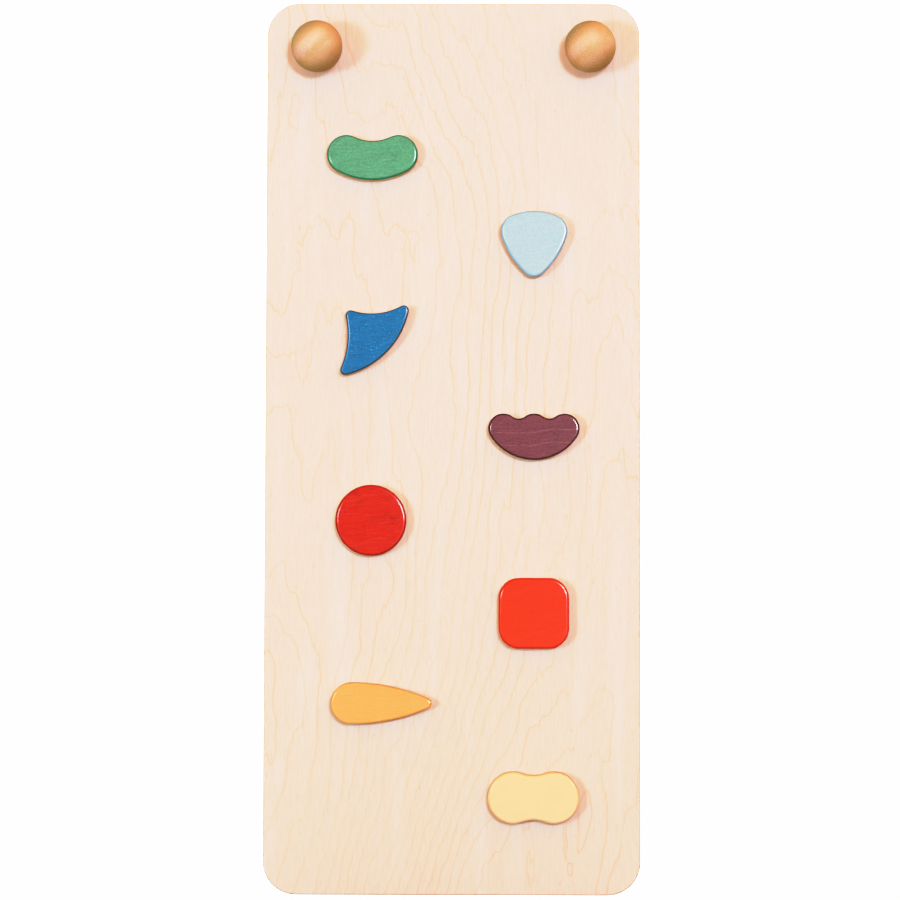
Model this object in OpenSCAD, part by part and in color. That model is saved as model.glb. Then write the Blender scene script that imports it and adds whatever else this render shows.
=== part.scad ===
// Climbing board for small children. A plywood board carries eight stained grips.
// A turned ball near each top corner, front and back, hooks the board over a rung.
// X runs across the board, Y from the climbing face to the back, Z up.
// The origin is at the middle of the bottom edge.

/* [Board] */
// Width of the board
board_w = 450; // [370:1:600]
// Height of the board
board_h = 1070; // [880:1:1300]
// Thickness of the plywood
board_t = 18; // [15:0.5:24]
// Radius of the four corners
corner_r = 40; // [20:1:60]
// Radius of the softened edge on both faces
edge_r = 3; // [1.5:0.1:5]

/* [Grip rows] */
// Drop from the top edge to the first row of grips
first_row_drop = 190; // [170:1:240]
// Height of the last row of grips above the bottom edge
last_row_rise = 117; // [90:1:160]
// Distance between the two columns of grips
column_gap = 194; // [160:1:210]

/* [Grips] */
// Thickness of every grip
grip_t = 15; // [12:0.5:22]
// Radius of the rounded rim on a grip's front
rim_r = 3; // [1:0.1:4]
// Width of the green bean
bean_w = 109; // [90:1:130]
// Height of the green bean
bean_h = 54.5; // [50:0.5:66]
// Radius of the bean's two ends
bean_end_r = 23.2; // [18:0.1:24.5]
// Depth of the hollow in the bean's top
bean_dip = 7; // [3:0.5:9]
// Width of the light blue triangle across its upper corners
triangle_w = 80; // [66:1:96]
// Height of the light blue triangle
triangle_h = 79.5; // [66:0.5:96]
// Radius of the triangle's upper corners
triangle_corner_r = 20.5; // [15:0.5:24]
// Radius of the triangle's lower tip
triangle_tip_r = 15.5; // [10:0.5:20]
// Width of the blue fin
fin_w = 81.5; // [68:0.5:98]
// Height of the blue fin
fin_h = 83.5; // [70:0.5:100]
// Radius of the fin's three tips
fin_tip_r = 6; // [4:0.5:8]
// Width of the purple cloud
cloud_w = 109; // [100:1:130]
// Height of the purple cloud
cloud_h = 55.5; // [50:0.5:66]
// Radius of the cloud's three humps
cloud_hump_r = 18; // [14:0.5:19]
// Depth of the valleys between the humps
cloud_dip = 6; // [4:0.5:8]
// Diameter of the red disc
disc_d = 84.5; // [70:0.5:100]
// Side of the orange-red square
square_side = 84; // [70:0.5:100]
// Radius of the square's corners
square_corner_r = 24.5; // [15:0.5:30]
// Length of the orange drop
drop_l = 119.5; // [100:0.5:130]
// Width of the orange drop at its round end
drop_w = 49; // [42:0.5:60]
// Radius of the drop's tip
drop_tip_r = 6; // [4:0.5:9]
// Length of the yellow peanut
peanut_l = 109; // [100:1:130]
// Radius of the peanut's two ends
peanut_end_r = 30.5; // [26:0.5:34]
// Depth of the hollow on each side of the peanut
peanut_dip = 4.3; // [2:0.1:6]

/* [Balls] */
// Diameter of the turned balls
ball_d = 61; // [50:1:74]
// Depth of the flat that seats a ball on the board
ball_flat = 1.5; // [1:0.1:3]
// Distance from a ball's centre to the side edge of the board
ball_inset = 62; // [45:1:80]
// Distance from a ball's centre to the top edge of the board
ball_drop = 60; // [45:1:80]

/* [Fasteners] */
// Diameter of the stud through the board
stud_d = 8; // [6:1:10]
// Depth of the stud in each ball
stud_bite = 14; // [10:1:18]
// Outer diameter of the threaded insert in a ball
insert_d = 12; // [10:0.5:14]
// Diameter of a grip screw's shank
screw_d = 4; // [3.5:0.1:5]
// Diameter of a grip screw's head
screw_head_d = 8; // [7.5:0.1:9]
// Depth of a grip screw in its grip
screw_bite = 10; // [8:0.5:11]

/* [Hidden] */

// Finishes
ply_color = [0.95, 0.88, 0.80];
beech_color = [0.84, 0.63, 0.40];
steel_color = [0.72, 0.73, 0.75];
brass_color = [0.80, 0.66, 0.35];

// Fits
fit_gap = 0.05;      // radial gap round a screw or an insert in wood
stud_play = 0.25;    // radial gap round the stud in the board
screw_play = 0.25;   // radial gap round a screw's shank in the board
insert_sink = 0.5;   // how far an insert lies below its ball's flat
hole_end_gap = 1;    // space beyond the end of a screw, stud or insert
eps = 0.01;

// Rows and columns
rows = 8;
row_pitch = (board_h - first_row_drop - last_row_rise) / (rows - 1);
left_x = -column_gap / 2;
right_x = column_gap / 2;
function row_z(row) = board_h - first_row_drop - row * row_pitch;

// Balls
ball_r = ball_d / 2;
ball_stand = ball_r - ball_flat;
ball_x = board_w / 2 - ball_inset;
ball_z = board_h - ball_drop;
insert_l = stud_bite;
stud_l = board_t + 2 * stud_bite;

// Screws
screw_l = board_t + screw_bite;
screw_cone_h = (screw_head_d - screw_d) / 2;
screw_rim_h = 0.4;
screw_tip_h = screw_d;
recess_w = 1.1;
recess_l = 3.9;
recess_h = 1.8;

// Fineness of curves
$fn = 96;
arc_sag = 0.04;       // how far a chord of an outline may lie inside its arc
rim_steps = 4;

// ---- Outlines: round lobes joined by tangent arcs ----
// A lobe is [x, y, radius], and the lobes run anticlockwise. A bend is the radius of the arc
// from one lobe to the next: positive bulges out, negative curves in, and 0 is straight.

function heading(v) = atan2(v[1], v[0]);
function wrap(a) = a - 360 * floor(a / 360);
function ray(a) = [cos(a), sin(a)];
function spot(lobe) = [lobe[0], lobe[1]];

// Distance from a lobe's centre to the centre of an arc that touches it
function reach(lobe, bend) = abs(bend) - sign(bend) * lobe[2];

// Angle of the law of cosines at the first lobe
function swing(span, near, far) = acos((span * span + near * near - far * far) / (2 * span * near));

function bend_centre(a, b, bend) =
    let (way = spot(b) - spot(a), turn = swing(norm(way), reach(a, bend), reach(b, bend)))
    spot(a) + reach(a, bend) * ray(heading(way) + sign(bend) * turn);

// Angle on lobe a, or on lobe b, where the arc or line between them touches
function touch(a, b, bend, on) =
    let (way = spot(b) - spot(a))
    bend == 0
        ? heading(way) - acos((a[2] - b[2]) / norm(way))
        : heading(spot(on) - bend_centre(a, b, bend)) + (bend < 0 ? 180 : 0);

function arc_steps(r, sweep) = ceil(abs(sweep) / (2 * acos(1 - arc_sag / r)));

// Points of an arc from angle a0, without its last one; grow widens it, at the same angles
function arc_points(centre, r, a0, sweep, grow) =
    let (steps = arc_steps(r, sweep))
    [for (i = [0:steps - 1]) centre + (r + grow) * ray(a0 + sweep * i / steps)];

function lobe_points(lobe, a0, a1, inset) = arc_points(spot(lobe), lobe[2], a0, wrap(a1 - a0), -inset);

function bend_points(a, b, bend, inset) =
    bend == 0
        ? [spot(a) + (a[2] - inset) * ray(touch(a, b, bend, a))]
        : let (
            centre = bend_centre(a, b, bend),
            start = heading(spot(a) - centre),
            finish = heading(spot(b) - centre),
            sweep = bend > 0 ? wrap(finish - start) : -wrap(start - finish)
        )
        arc_points(centre, abs(bend), start, sweep, -sign(bend) * inset);

function outline(lobes, bends, inset = 0) =
    let (n = len(lobes))
    [
        for (i = [0:n - 1])
        let (
            last = (i + n - 1) % n,
            next = (i + 1) % n,
            a0 = touch(lobes[last], lobes[i], bends[last], lobes[i]),
            a1 = touch(lobes[i], lobes[next], bends[i], lobes[i])
        )
        each concat(
            lobe_points(lobes[i], a0, a1, inset),
            bend_points(lobes[i], lobes[next], bends[i], inset)
        )
    ];

// Radius of the hollow between two equal lobes that lie x either side of it
function valley_r(x, r, dip) = (x * x + pow(r - dip, 2) - r * r) / (2 * dip);

// Radius of the arc under two equal lobes at the top of a shape of height h
function belly_r(x, r, h) = h / 2 + x * x / (4 * (h / 2 - r));

// ---- The grips' outlines, each about the middle of its own box ----

bean_x = bean_w / 2 - bean_end_r;
bean_y = bean_h / 2 - bean_end_r;
bean_lobes = [[bean_x, bean_y, bean_end_r], [-bean_x, bean_y, bean_end_r]];
bean_bends = [-valley_r(bean_x, bean_end_r, bean_dip), belly_r(bean_x, bean_end_r, bean_h)];
bean_screws = [[-28, 2], [28, 2]];

triangle_top_r = 70;
triangle_side_r = 105;
triangle_x = triangle_w / 2 - triangle_corner_r;
triangle_rise = sqrt(pow(triangle_top_r - triangle_corner_r, 2) - triangle_x * triangle_x);
triangle_y = triangle_h / 2 - triangle_top_r + triangle_rise;
triangle_lobes = [
    [triangle_x, triangle_y, triangle_corner_r],
    [-triangle_x, triangle_y, triangle_corner_r],
    [0, triangle_tip_r - triangle_h / 2, triangle_tip_r],
];
triangle_bends = [triangle_top_r, triangle_side_r, triangle_side_r];
triangle_screws = [[-15, 8], [15, 8]];

fin_shoulder_in = 6;
fin_shoulder_drop = 6;
fin_x = fin_w / 2 - fin_tip_r;
fin_y = fin_h / 2 - fin_tip_r;
fin_lobes = [
    [fin_x, fin_y, fin_tip_r],
    [fin_shoulder_in - fin_x, fin_y - fin_shoulder_drop, fin_tip_r],
    [-fin_x, -fin_y, fin_tip_r],
];
fin_bends = [-75, -100, 100];
fin_screws = [[-14, -14], [8, 14]];

cloud_x = cloud_w / 2 - cloud_hump_r;
cloud_y = cloud_h / 2 - cloud_hump_r;
cloud_lobes = [for (side = [1, 0, -1]) [side * cloud_x, cloud_y, cloud_hump_r]];
cloud_valley_r = valley_r(cloud_x / 2, cloud_hump_r, cloud_dip);
cloud_bends = [-cloud_valley_r, -cloud_valley_r, belly_r(cloud_x, cloud_hump_r, cloud_h)];
cloud_screws = [[-28, 4], [28, 4]];

disc_screws = [[-20, 0], [20, 0]];

square_x = square_side / 2 - square_corner_r;
square_lobes = [
    for (corner = [[1, 1], [-1, 1], [-1, -1], [1, -1]])
    [corner[0] * square_x, corner[1] * square_x, square_corner_r]
];
square_bends = [0, 0, 0, 0];
square_screws = [[-20, 0], [20, 0]];

drop_side_r = 230;
drop_lobes = [
    [drop_l / 2 - drop_tip_r, 0, drop_tip_r],
    [drop_w / 2 - drop_l / 2, 0, drop_w / 2],
];
drop_bends = [drop_side_r, drop_side_r];
drop_screws = [[-38, 0], [8, 0]];

peanut_x = peanut_l / 2 - peanut_end_r;
peanut_lobes = [[peanut_x, 0, peanut_end_r], [-peanut_x, 0, peanut_end_r]];
peanut_valley_r = valley_r(peanut_x, peanut_end_r, peanut_dip);
peanut_bends = [-peanut_valley_r, -peanut_valley_r];
peanut_screws = [[-26, 0], [26, 0]];

// ---- The grips' places: [x, z] of the middle of each one's box ----

bean_at = [left_x, row_z(0) - 0.5];
triangle_at = [right_x, row_z(1) + 5];
fin_at = [left_x + 3.5, row_z(2) - 2];
cloud_at = [right_x, row_z(3) - 8];
disc_at = [left_x, row_z(4) + 1];
square_at = [right_x, row_z(5)];
drop_at = [left_x + 13, row_z(6) + 2];
peanut_at = [right_x, row_z(7)];

// ---- Placing ----

// Children stand on the climbing face: +Z points out of it and +Y points up
module on_front(at) {
    translate([at[0], -board_t / 2, at[1]]) rotate([90, 0, 0]) children();
}

// Children stand on the back in the same way, seen from behind
module on_back(at) {
    translate([at[0], board_t / 2, at[1]]) rotate([90, 0, 180]) children();
}

// ---- Board ----

// Cross-section of the board's edge, depth deep, with both faces softened
module edge_profile(depth) {
    square_h = board_t / 2;
    translate([0, -square_h]) square([depth - edge_r, board_t]);
    translate([0, edge_r - square_h]) square([depth, board_t - 2 * edge_r]);
    for (side = [-1, 1]) {
        translate([depth - edge_r, side * (square_h - edge_r)]) circle(r = edge_r);
    }
}

// One rounded corner and the straight edge that follows it anticlockwise
module corner_and_edge(edge_l) {
    rotate_extrude(angle = 90) edge_profile(corner_r);
    rotate([90, 0, 90]) mirror([0, 0, 1]) linear_extrude(edge_l) edge_profile(corner_r);
}

module board_blank() {
    inner_w = board_w - 2 * corner_r;
    inner_h = board_h - 2 * corner_r;
    translate([0, 0, board_h / 2]) rotate([90, 0, 0]) {
        cube([inner_w, inner_h, board_t], center = true);
        for (turn = [0, 180]) {
            rotate(turn) translate([inner_w / 2, inner_h / 2]) corner_and_edge(inner_w);
            rotate(turn) translate([-inner_w / 2, inner_h / 2]) rotate(90) corner_and_edge(inner_h);
        }
    }
}

// Clearance hole and countersink of one grip screw, its mouth at z = 0
module screw_hole() {
    head_r = screw_head_d / 2 + fit_gap;
    rim_z = -screw_rim_h - fit_gap;
    translate([0, 0, -board_t - eps]) cylinder(r = screw_d / 2 + screw_play, h = board_t + 2 * eps);
    translate([0, 0, rim_z - head_r]) cylinder(r1 = 0, r2 = head_r, h = head_r);
    translate([0, 0, rim_z - eps]) cylinder(r = head_r, h = eps - rim_z + eps);
}

// Children at the back of the board, behind each of a grip's screw spots
module at_screws(at, spots) {
    for (s = spots) {
        on_back(at + s) children();
    }
}

module climbing_board() {
    color(ply_color) difference() {
        board_blank();
        at_screws(bean_at, bean_screws) screw_hole();
        at_screws(triangle_at, triangle_screws) screw_hole();
        at_screws(fin_at, fin_screws) screw_hole();
        at_screws(cloud_at, cloud_screws) screw_hole();
        at_screws(disc_at, disc_screws) screw_hole();
        at_screws(square_at, square_screws) screw_hole();
        at_screws(drop_at, drop_screws) screw_hole();
        at_screws(peanut_at, peanut_screws) screw_hole();
        for (side = [-1, 1]) {
            translate([side * ball_x, 0, ball_z])
                rotate([90, 0, 0])
                cylinder(r = stud_d / 2 + stud_play, h = board_t + 2 * eps, center = true);
        }
    }
}

// ---- Grips ----

// Plate of thickness grip_t with the outline of the lobes and a rounded front rim
module lobed_plate(lobes, bends) {
    levels = concat(
        [[0, 0]],
        [for (k = [0:rim_steps]) let (a = 90 * k / rim_steps) [grip_t - rim_r + rim_r * sin(a), rim_r * (1 - cos(a))]]
    );
    rings = [for (level = levels) [for (p = outline(lobes, bends, level[1])) [p[0], p[1], level[0]]]];
    n = len(rings[0]);
    top = (len(rings) - 1) * n;
    walls = [
        for (k = [0:len(rings) - 2], i = [0:n - 1])
        let (j = (i + 1) % n)
        [k * n + i, (k + 1) * n + i, (k + 1) * n + j, k * n + j]
    ];
    caps = [[for (i = [0:n - 1]) i], [for (i = [0:n - 1]) top + n - 1 - i]];
    polyhedron([for (ring = rings) each ring], concat(walls, caps));
}

// Disc of thickness grip_t with the same rounded front rim
module disc_plate() {
    rotate_extrude() {
        square([disc_d / 2, grip_t - rim_r]);
        square([disc_d / 2 - rim_r, grip_t]);
        translate([disc_d / 2 - rim_r, grip_t - rim_r]) intersection() {
            circle(r = rim_r);
            square(rim_r);
        }
    }
}

// Pilot holes that a grip's screws bite into, from its back
module pilot_holes(spots) {
    for (s = spots) {
        translate([s[0], s[1], -eps])
            cylinder(r = screw_d / 2 + fit_gap, h = screw_bite + hole_end_gap + eps);
    }
}

module grip(at, spots, finish) {
    color(finish) on_front(at) difference() {
        children();
        pilot_holes(spots);
    }
}

module green_bean_grip() {
    grip(bean_at, bean_screws, [0.36, 0.68, 0.50]) lobed_plate(bean_lobes, bean_bends);
}

module light_blue_triangle_grip() {
    grip(triangle_at, triangle_screws, [0.76, 0.89, 0.92]) lobed_plate(triangle_lobes, triangle_bends);
}

module blue_fin_grip() {
    grip(fin_at, fin_screws, [0.14, 0.45, 0.69]) lobed_plate(fin_lobes, fin_bends);
}

module purple_cloud_grip() {
    grip(cloud_at, cloud_screws, [0.50, 0.27, 0.32]) lobed_plate(cloud_lobes, cloud_bends);
}

module red_disc_grip() {
    grip(disc_at, disc_screws, [0.89, 0.15, 0.11]) disc_plate();
}

module orange_red_square_grip() {
    grip(square_at, square_screws, [0.99, 0.24, 0.08]) lobed_plate(square_lobes, square_bends);
}

module orange_drop_grip() {
    grip(drop_at, drop_screws, [0.98, 0.73, 0.38]) lobed_plate(drop_lobes, drop_bends);
}

module yellow_peanut_grip() {
    grip(peanut_at, peanut_screws, [0.98, 0.87, 0.62]) lobed_plate(peanut_lobes, peanut_bends);
}

// ---- Grip screws ----

// Countersunk wood screw, its head flush at z = 0 and its tip down
module grip_screw() {
    shank_r = screw_d / 2;
    head_r = screw_head_d / 2;
    cone_z = -screw_rim_h - screw_cone_h;
    difference() {
        rotate_extrude() polygon([
            [0, 0], [0, -screw_l], [0.3, -screw_l], [shank_r, screw_tip_h - screw_l],
            [shank_r, cone_z], [head_r, -screw_rim_h], [head_r, 0],
        ]);
        for (turn = [0, 60, 120]) {
            rotate(turn) cube([recess_l, recess_w, 2 * recess_h], center = true);
        }
    }
}

module green_bean_screws() {
    color(steel_color) at_screws(bean_at, bean_screws) grip_screw();
}

module light_blue_triangle_screws() {
    color(steel_color) at_screws(triangle_at, triangle_screws) grip_screw();
}

module blue_fin_screws() {
    color(steel_color) at_screws(fin_at, fin_screws) grip_screw();
}

module purple_cloud_screws() {
    color(steel_color) at_screws(cloud_at, cloud_screws) grip_screw();
}

module red_disc_screws() {
    color(steel_color) at_screws(disc_at, disc_screws) grip_screw();
}

module orange_red_square_screws() {
    color(steel_color) at_screws(square_at, square_screws) grip_screw();
}

module orange_drop_screws() {
    color(steel_color) at_screws(drop_at, drop_screws) grip_screw();
}

module yellow_peanut_screws() {
    color(steel_color) at_screws(peanut_at, peanut_screws) grip_screw();
}

// ---- Balls, inserts and studs ----

// Ball with its flat at z = 0 and a blind hole for the insert
module ball() {
    hole_h = insert_sink + insert_l + hole_end_gap;
    color(beech_color) difference() {
        translate([0, 0, ball_stand]) sphere(r = ball_r);
        translate([0, 0, -ball_r]) cube(2 * ball_r, center = true);
        translate([0, 0, -eps]) cylinder(r = insert_d / 2 + fit_gap, h = hole_h + eps);
    }
}

// Threaded metal sleeve, sunk in the ball
module insert() {
    color(brass_color) translate([0, 0, insert_sink]) difference() {
        cylinder(d = insert_d, h = insert_l);
        translate([0, 0, -eps]) cylinder(r = stud_d / 2 + fit_gap, h = insert_l + 2 * eps);
    }
}

// Threaded rod through the board, from one ball into the other
module stud(side) {
    tip = 1;
    color(steel_color) translate([side * ball_x, 0, ball_z]) rotate([90, 0, 0]) rotate_extrude() polygon([
        [0, -stud_l / 2], [stud_d / 2 - tip, -stud_l / 2], [stud_d / 2, tip - stud_l / 2],
        [stud_d / 2, stud_l / 2 - tip], [stud_d / 2 - tip, stud_l / 2], [0, stud_l / 2],
    ]);
}

module front_left_ball() {
    on_front([-ball_x, ball_z]) ball();
}

module front_right_ball() {
    on_front([ball_x, ball_z]) ball();
}

module rear_left_ball() {
    on_back([-ball_x, ball_z]) ball();
}

module rear_right_ball() {
    on_back([ball_x, ball_z]) ball();
}

module front_left_insert() {
    on_front([-ball_x, ball_z]) insert();
}

module front_right_insert() {
    on_front([ball_x, ball_z]) insert();
}

module rear_left_insert() {
    on_back([-ball_x, ball_z]) insert();
}

module rear_right_insert() {
    on_back([ball_x, ball_z]) insert();
}

module left_stud() {
    stud(-1);
}

module right_stud() {
    stud(1);
}

climbing_board();
green_bean_grip();
light_blue_triangle_grip();
blue_fin_grip();
purple_cloud_grip();
red_disc_grip();
orange_red_square_grip();
orange_drop_grip();
yellow_peanut_grip();
green_bean_screws();
light_blue_triangle_screws();
blue_fin_screws();
purple_cloud_screws();
red_disc_screws();
orange_red_square_screws();
orange_drop_screws();
yellow_peanut_screws();
front_left_ball();
front_right_ball();
rear_left_ball();
rear_right_ball();
front_left_insert();
front_right_insert();
rear_left_insert();
rear_right_insert();
left_stud();
right_stud();
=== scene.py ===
"""Looks of a toddler's climbing board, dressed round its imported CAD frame.

Everything is in metres in the frame's own axes: the origin is the middle of the board's bottom edge, X runs
across the board, +Y from the climbing face to the back, and +Z up. The factors of a pattern's coordinates are
features per metre across, from front to back, and upwards.
"""

import logging
import math
from dataclasses import dataclass
from enum import Enum

import bmesh
import bpy
from mathutils import Euler, Matrix, Vector


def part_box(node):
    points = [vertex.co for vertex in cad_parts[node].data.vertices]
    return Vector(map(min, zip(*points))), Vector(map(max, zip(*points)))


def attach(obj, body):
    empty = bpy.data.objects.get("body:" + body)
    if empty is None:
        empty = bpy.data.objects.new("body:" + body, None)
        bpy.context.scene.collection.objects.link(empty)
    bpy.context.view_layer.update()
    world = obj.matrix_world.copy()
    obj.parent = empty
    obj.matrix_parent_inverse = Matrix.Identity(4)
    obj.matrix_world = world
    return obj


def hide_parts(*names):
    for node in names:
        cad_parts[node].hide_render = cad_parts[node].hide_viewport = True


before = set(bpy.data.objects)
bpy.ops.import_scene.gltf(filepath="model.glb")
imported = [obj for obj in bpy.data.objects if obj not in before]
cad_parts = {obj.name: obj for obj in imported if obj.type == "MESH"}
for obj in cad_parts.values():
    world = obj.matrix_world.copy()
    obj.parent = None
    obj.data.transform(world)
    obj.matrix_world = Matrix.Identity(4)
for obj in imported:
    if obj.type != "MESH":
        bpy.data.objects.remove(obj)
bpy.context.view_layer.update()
BODY = "root"
MM = 0.001
TIGHT = 0.01 * MM
WELD = 0.002 * MM
SHARP = math.radians(35)
SLANT = (0, 38, 0)
PORES = (700, 300, 700)
COMBINED_CURVE = 3
LOG = logging.getLogger("climbing_board")
BARE_WOOD = (0.86, 0.74, 0.58)
FILM = [
    (0.0, 0.0),
    (0.1, 0.078),
    (0.2, 0.162),
    (0.35, 0.288),
    (0.5, 0.44),
    (0.63, 0.60),
    (0.75, 0.73),
    (0.87, 0.80),
    (1.0, 0.852),
    (1.13, 0.894),
    (1.33, 0.945),
    (1.6, 0.982),
    (2.2, 0.997),
    (3.0, 1.0),
]

Triple = tuple[float, float, float]


def paint(red: int, green: int, blue: int) -> Triple:
    """Turns a colour chart's 0 to 255 values into the linear values that shaders use.

    Args:
        red: Red on the chart.
        green: Green on the chart.
        blue: Blue on the chart.

    Returns:
        The linear red, green and blue.
    """
    shares = [channel / 255 for channel in (red, green, blue)]
    return tuple(s / 12.92 if s <= 0.04045 else ((s + 0.055) / 1.055) ** 2.4 for s in shares)


# ----------------------------------------------------------------------------------------------------
# Shader nodes written as expressions
# ----------------------------------------------------------------------------------------------------


class Net:
    """The node tree of one material or of the world."""

    def __init__(self, tree: bpy.types.NodeTree) -> None:
        """Empties the tree and keeps it."""
        self.tree = tree
        tree.nodes.clear()

    def add(self, kind: str, settings: dict | None = None, feeds: dict | None = None) -> bpy.types.Node:
        """Adds a node, sets it, then feeds its sockets.

        Args:
            kind: The node's type.
            settings: The node's own properties.
            feeds: A value, a wrapped socket or a socket for each named input.

        Returns:
            The new node.
        """
        node = self.tree.nodes.new(kind)
        for name, value in (settings or {}).items():
            setattr(node, name, value)
        for name, value in (feeds or {}).items():
            self.feed(node, name, value)
        return node

    def feed(self, node: bpy.types.Node, name: str, value: object) -> None:
        """Links a wrapped or bare socket to a named input, or sets the input's own value.

        Args:
            node: The node with the input.
            name: The input's identifier or label.
            value: What goes in.
        """
        target = next(s for s in node.inputs if name in (s.identifier, s.name))
        source = getattr(value, "socket", value)
        if isinstance(source, bpy.types.NodeSocket):
            self.tree.links.new(source, target)
        elif target.type == "RGBA":
            target.default_value = (*source, 1.0)
        else:
            target.default_value = source


class Amount:
    """A number that varies over a surface, with arithmetic that adds Math nodes."""

    def __init__(self, net: Net, socket: bpy.types.NodeSocket) -> None:
        """Keeps the net and the socket that holds the number."""
        self.net = net
        self.socket = socket

    def _math(self, operation: str, *operands: object) -> "Amount":
        """Adds one Math node.

        Args:
            operation: The node's operation.
            operands: Its inputs in order, numbers or amounts.

        Returns:
            The node's result.
        """
        keys = ("Value", "Value_001", "Value_002")
        node = self.net.add("ShaderNodeMath", {"operation": operation}, dict(zip(keys, operands)))
        return Amount(self.net, node.outputs["Value"])

    def __add__(self, other: object) -> "Amount":
        """Returns self + other."""
        return self._math("ADD", self, other)

    def __radd__(self, other: object) -> "Amount":
        """Returns other + self."""
        return self._math("ADD", other, self)

    def __sub__(self, other: object) -> "Amount":
        """Returns self - other."""
        return self._math("SUBTRACT", self, other)

    def __rsub__(self, other: object) -> "Amount":
        """Returns other - self."""
        return self._math("SUBTRACT", other, self)

    def __mul__(self, other: object) -> "Amount":
        """Returns self * other."""
        return self._math("MULTIPLY", self, other)

    def __rmul__(self, other: object) -> "Amount":
        """Returns other * self."""
        return self._math("MULTIPLY", other, self)

    def __truediv__(self, other: object) -> "Amount":
        """Returns self / other."""
        return self._math("DIVIDE", self, other)

    def __pow__(self, other: object) -> "Amount":
        """Returns self to the power of other."""
        return self._math("POWER", self, other)

    def __abs__(self) -> "Amount":
        """Returns the size of self without its sign."""
        return self._math("ABSOLUTE", self)

    def part(self) -> "Amount":
        """Returns what is left of self past the whole number below it."""
        return self._math("FRACT", self)

    def whole(self) -> "Amount":
        """Returns the whole number below self."""
        return self._math("FLOOR", self)

    def wave(self) -> "Amount":
        """Returns the sine of self in radians."""
        return self._math("SINE", self)

    def least(self, other: object) -> "Amount":
        """Returns the smaller of self and other."""
        return self._math("MINIMUM", self, other)

    def most(self, other: object) -> "Amount":
        """Returns the larger of self and other."""
        return self._math("MAXIMUM", self, other)

    def rise(self, low: float, high: float) -> "Amount":
        """Eases from 0 at low to 1 at high.

        Args:
            low: Where the rise starts.
            high: Where it ends, above low.

        Returns:
            The eased value, held at 0 and 1 outside.
        """
        settings = {"interpolation_type": "SMOOTHSTEP"}
        feeds = {"Value": self, "From Min": low, "From Max": high}
        node = self.net.add("ShaderNodeMapRange", settings, feeds)
        return Amount(self.net, node.outputs["Result"])

    def fall(self, low: float, high: float) -> "Amount":
        """Returns 1 up to low, easing down to 0 at high."""
        return 1 - self.rise(low, high)


class Tint:
    """A colour that varies over a surface."""

    def __init__(self, net: Net, socket: object) -> None:
        """Keeps the net and the socket, or a plain linear colour."""
        self.net = net
        self.socket = socket

    def mix(self, other: object, share: object) -> "Tint":
        """Mixes another colour over this one.

        Args:
            other: A tint or a plain linear colour.
            share: How much of it, a number or an amount.

        Returns:
            The mixed colour.
        """
        feeds = {"Factor_Float": share, "A_Color": self.socket, "B_Color": other}
        node = self.net.add("ShaderNodeMix", {"data_type": "RGBA"}, feeds)
        return Tint(self.net, next(s for s in node.outputs if s.identifier == "Result_Color"))

    def shade(self, amount: Amount) -> "Tint":
        """Multiplies the colour by an amount, 1 leaving it as it is."""
        feeds = {"Vector": self.socket, "Scale": amount}
        node = self.net.add("ShaderNodeVectorMath", {"operation": "SCALE"}, feeds)
        return Tint(self.net, node.outputs["Vector"])


class Spot:
    """A place on or in a piece, from which its patterns are drawn."""

    def __init__(self, net: Net, socket: bpy.types.NodeSocket) -> None:
        """Keeps the net and the vector socket."""
        self.net = net
        self.socket = socket
        self._axes: bpy.types.Node | None = None

    def _axis(self, name: str) -> Amount:
        """Returns one coordinate, splitting the vector once."""
        if self._axes is None:
            self._axes = self.net.add("ShaderNodeSeparateXYZ", None, {"Vector": self})
        return Amount(self.net, self._axes.outputs[name])

    @property
    def x(self) -> Amount:
        """The coordinate across."""
        return self._axis("X")

    @property
    def y(self) -> Amount:
        """The coordinate from front to back."""
        return self._axis("Y")

    @property
    def z(self) -> Amount:
        """The coordinate upwards."""
        return self._axis("Z")

    def placed(self, centre: Triple = (0, 0, 0), turn: Triple = (0, 0, 0)) -> "Spot":
        """Centres, then turns the coordinates of a pattern.

        Args:
            centre: The pattern's centre on the piece.
            turn: The turn about X, Y and Z in degrees.

        Returns:
            The pattern's own coordinates.
        """
        feeds = {"Vector": self, "Vector_001": centre}
        moved = self.net.add("ShaderNodeVectorMath", {"operation": "SUBTRACT"}, feeds)
        settings = {"rotation_type": "EULER_XYZ"}
        feeds = {"Vector": moved.outputs["Vector"], "Rotation": [math.radians(a) for a in turn]}
        turned = self.net.add("ShaderNodeVectorRotate", settings, feeds)
        return Spot(self.net, turned.outputs["Vector"])

    def scaled(self, across: float, deep: float, up: float) -> "Spot":
        """Returns the coordinates times a factor each."""
        feeds = {"Vector": self, "Vector_001": (across, deep, up)}
        node = self.net.add("ShaderNodeVectorMath", {"operation": "MULTIPLY"}, feeds)
        return Spot(self.net, node.outputs["Vector"])

    def noise(self, detail: float = 2.0, rough: float = 0.5) -> Amount:
        """Samples noise whose features are about one unit of these coordinates wide.

        Args:
            detail: How many finer layers it has.
            rough: How strong the finer layers are.

        Returns:
            The noise, about 0.5 on average.
        """
        feeds = {"Vector": self, "Scale": 1.0, "Detail": detail, "Roughness": rough}
        node = self.net.add("ShaderNodeTexNoise", {"noise_dimensions": "3D"}, feeds)
        return Amount(self.net, next(s for s in node.outputs if s.name in ("Fac", "Factor")))


# ----------------------------------------------------------------------------------------------------
# Finishes
# ----------------------------------------------------------------------------------------------------


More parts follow.
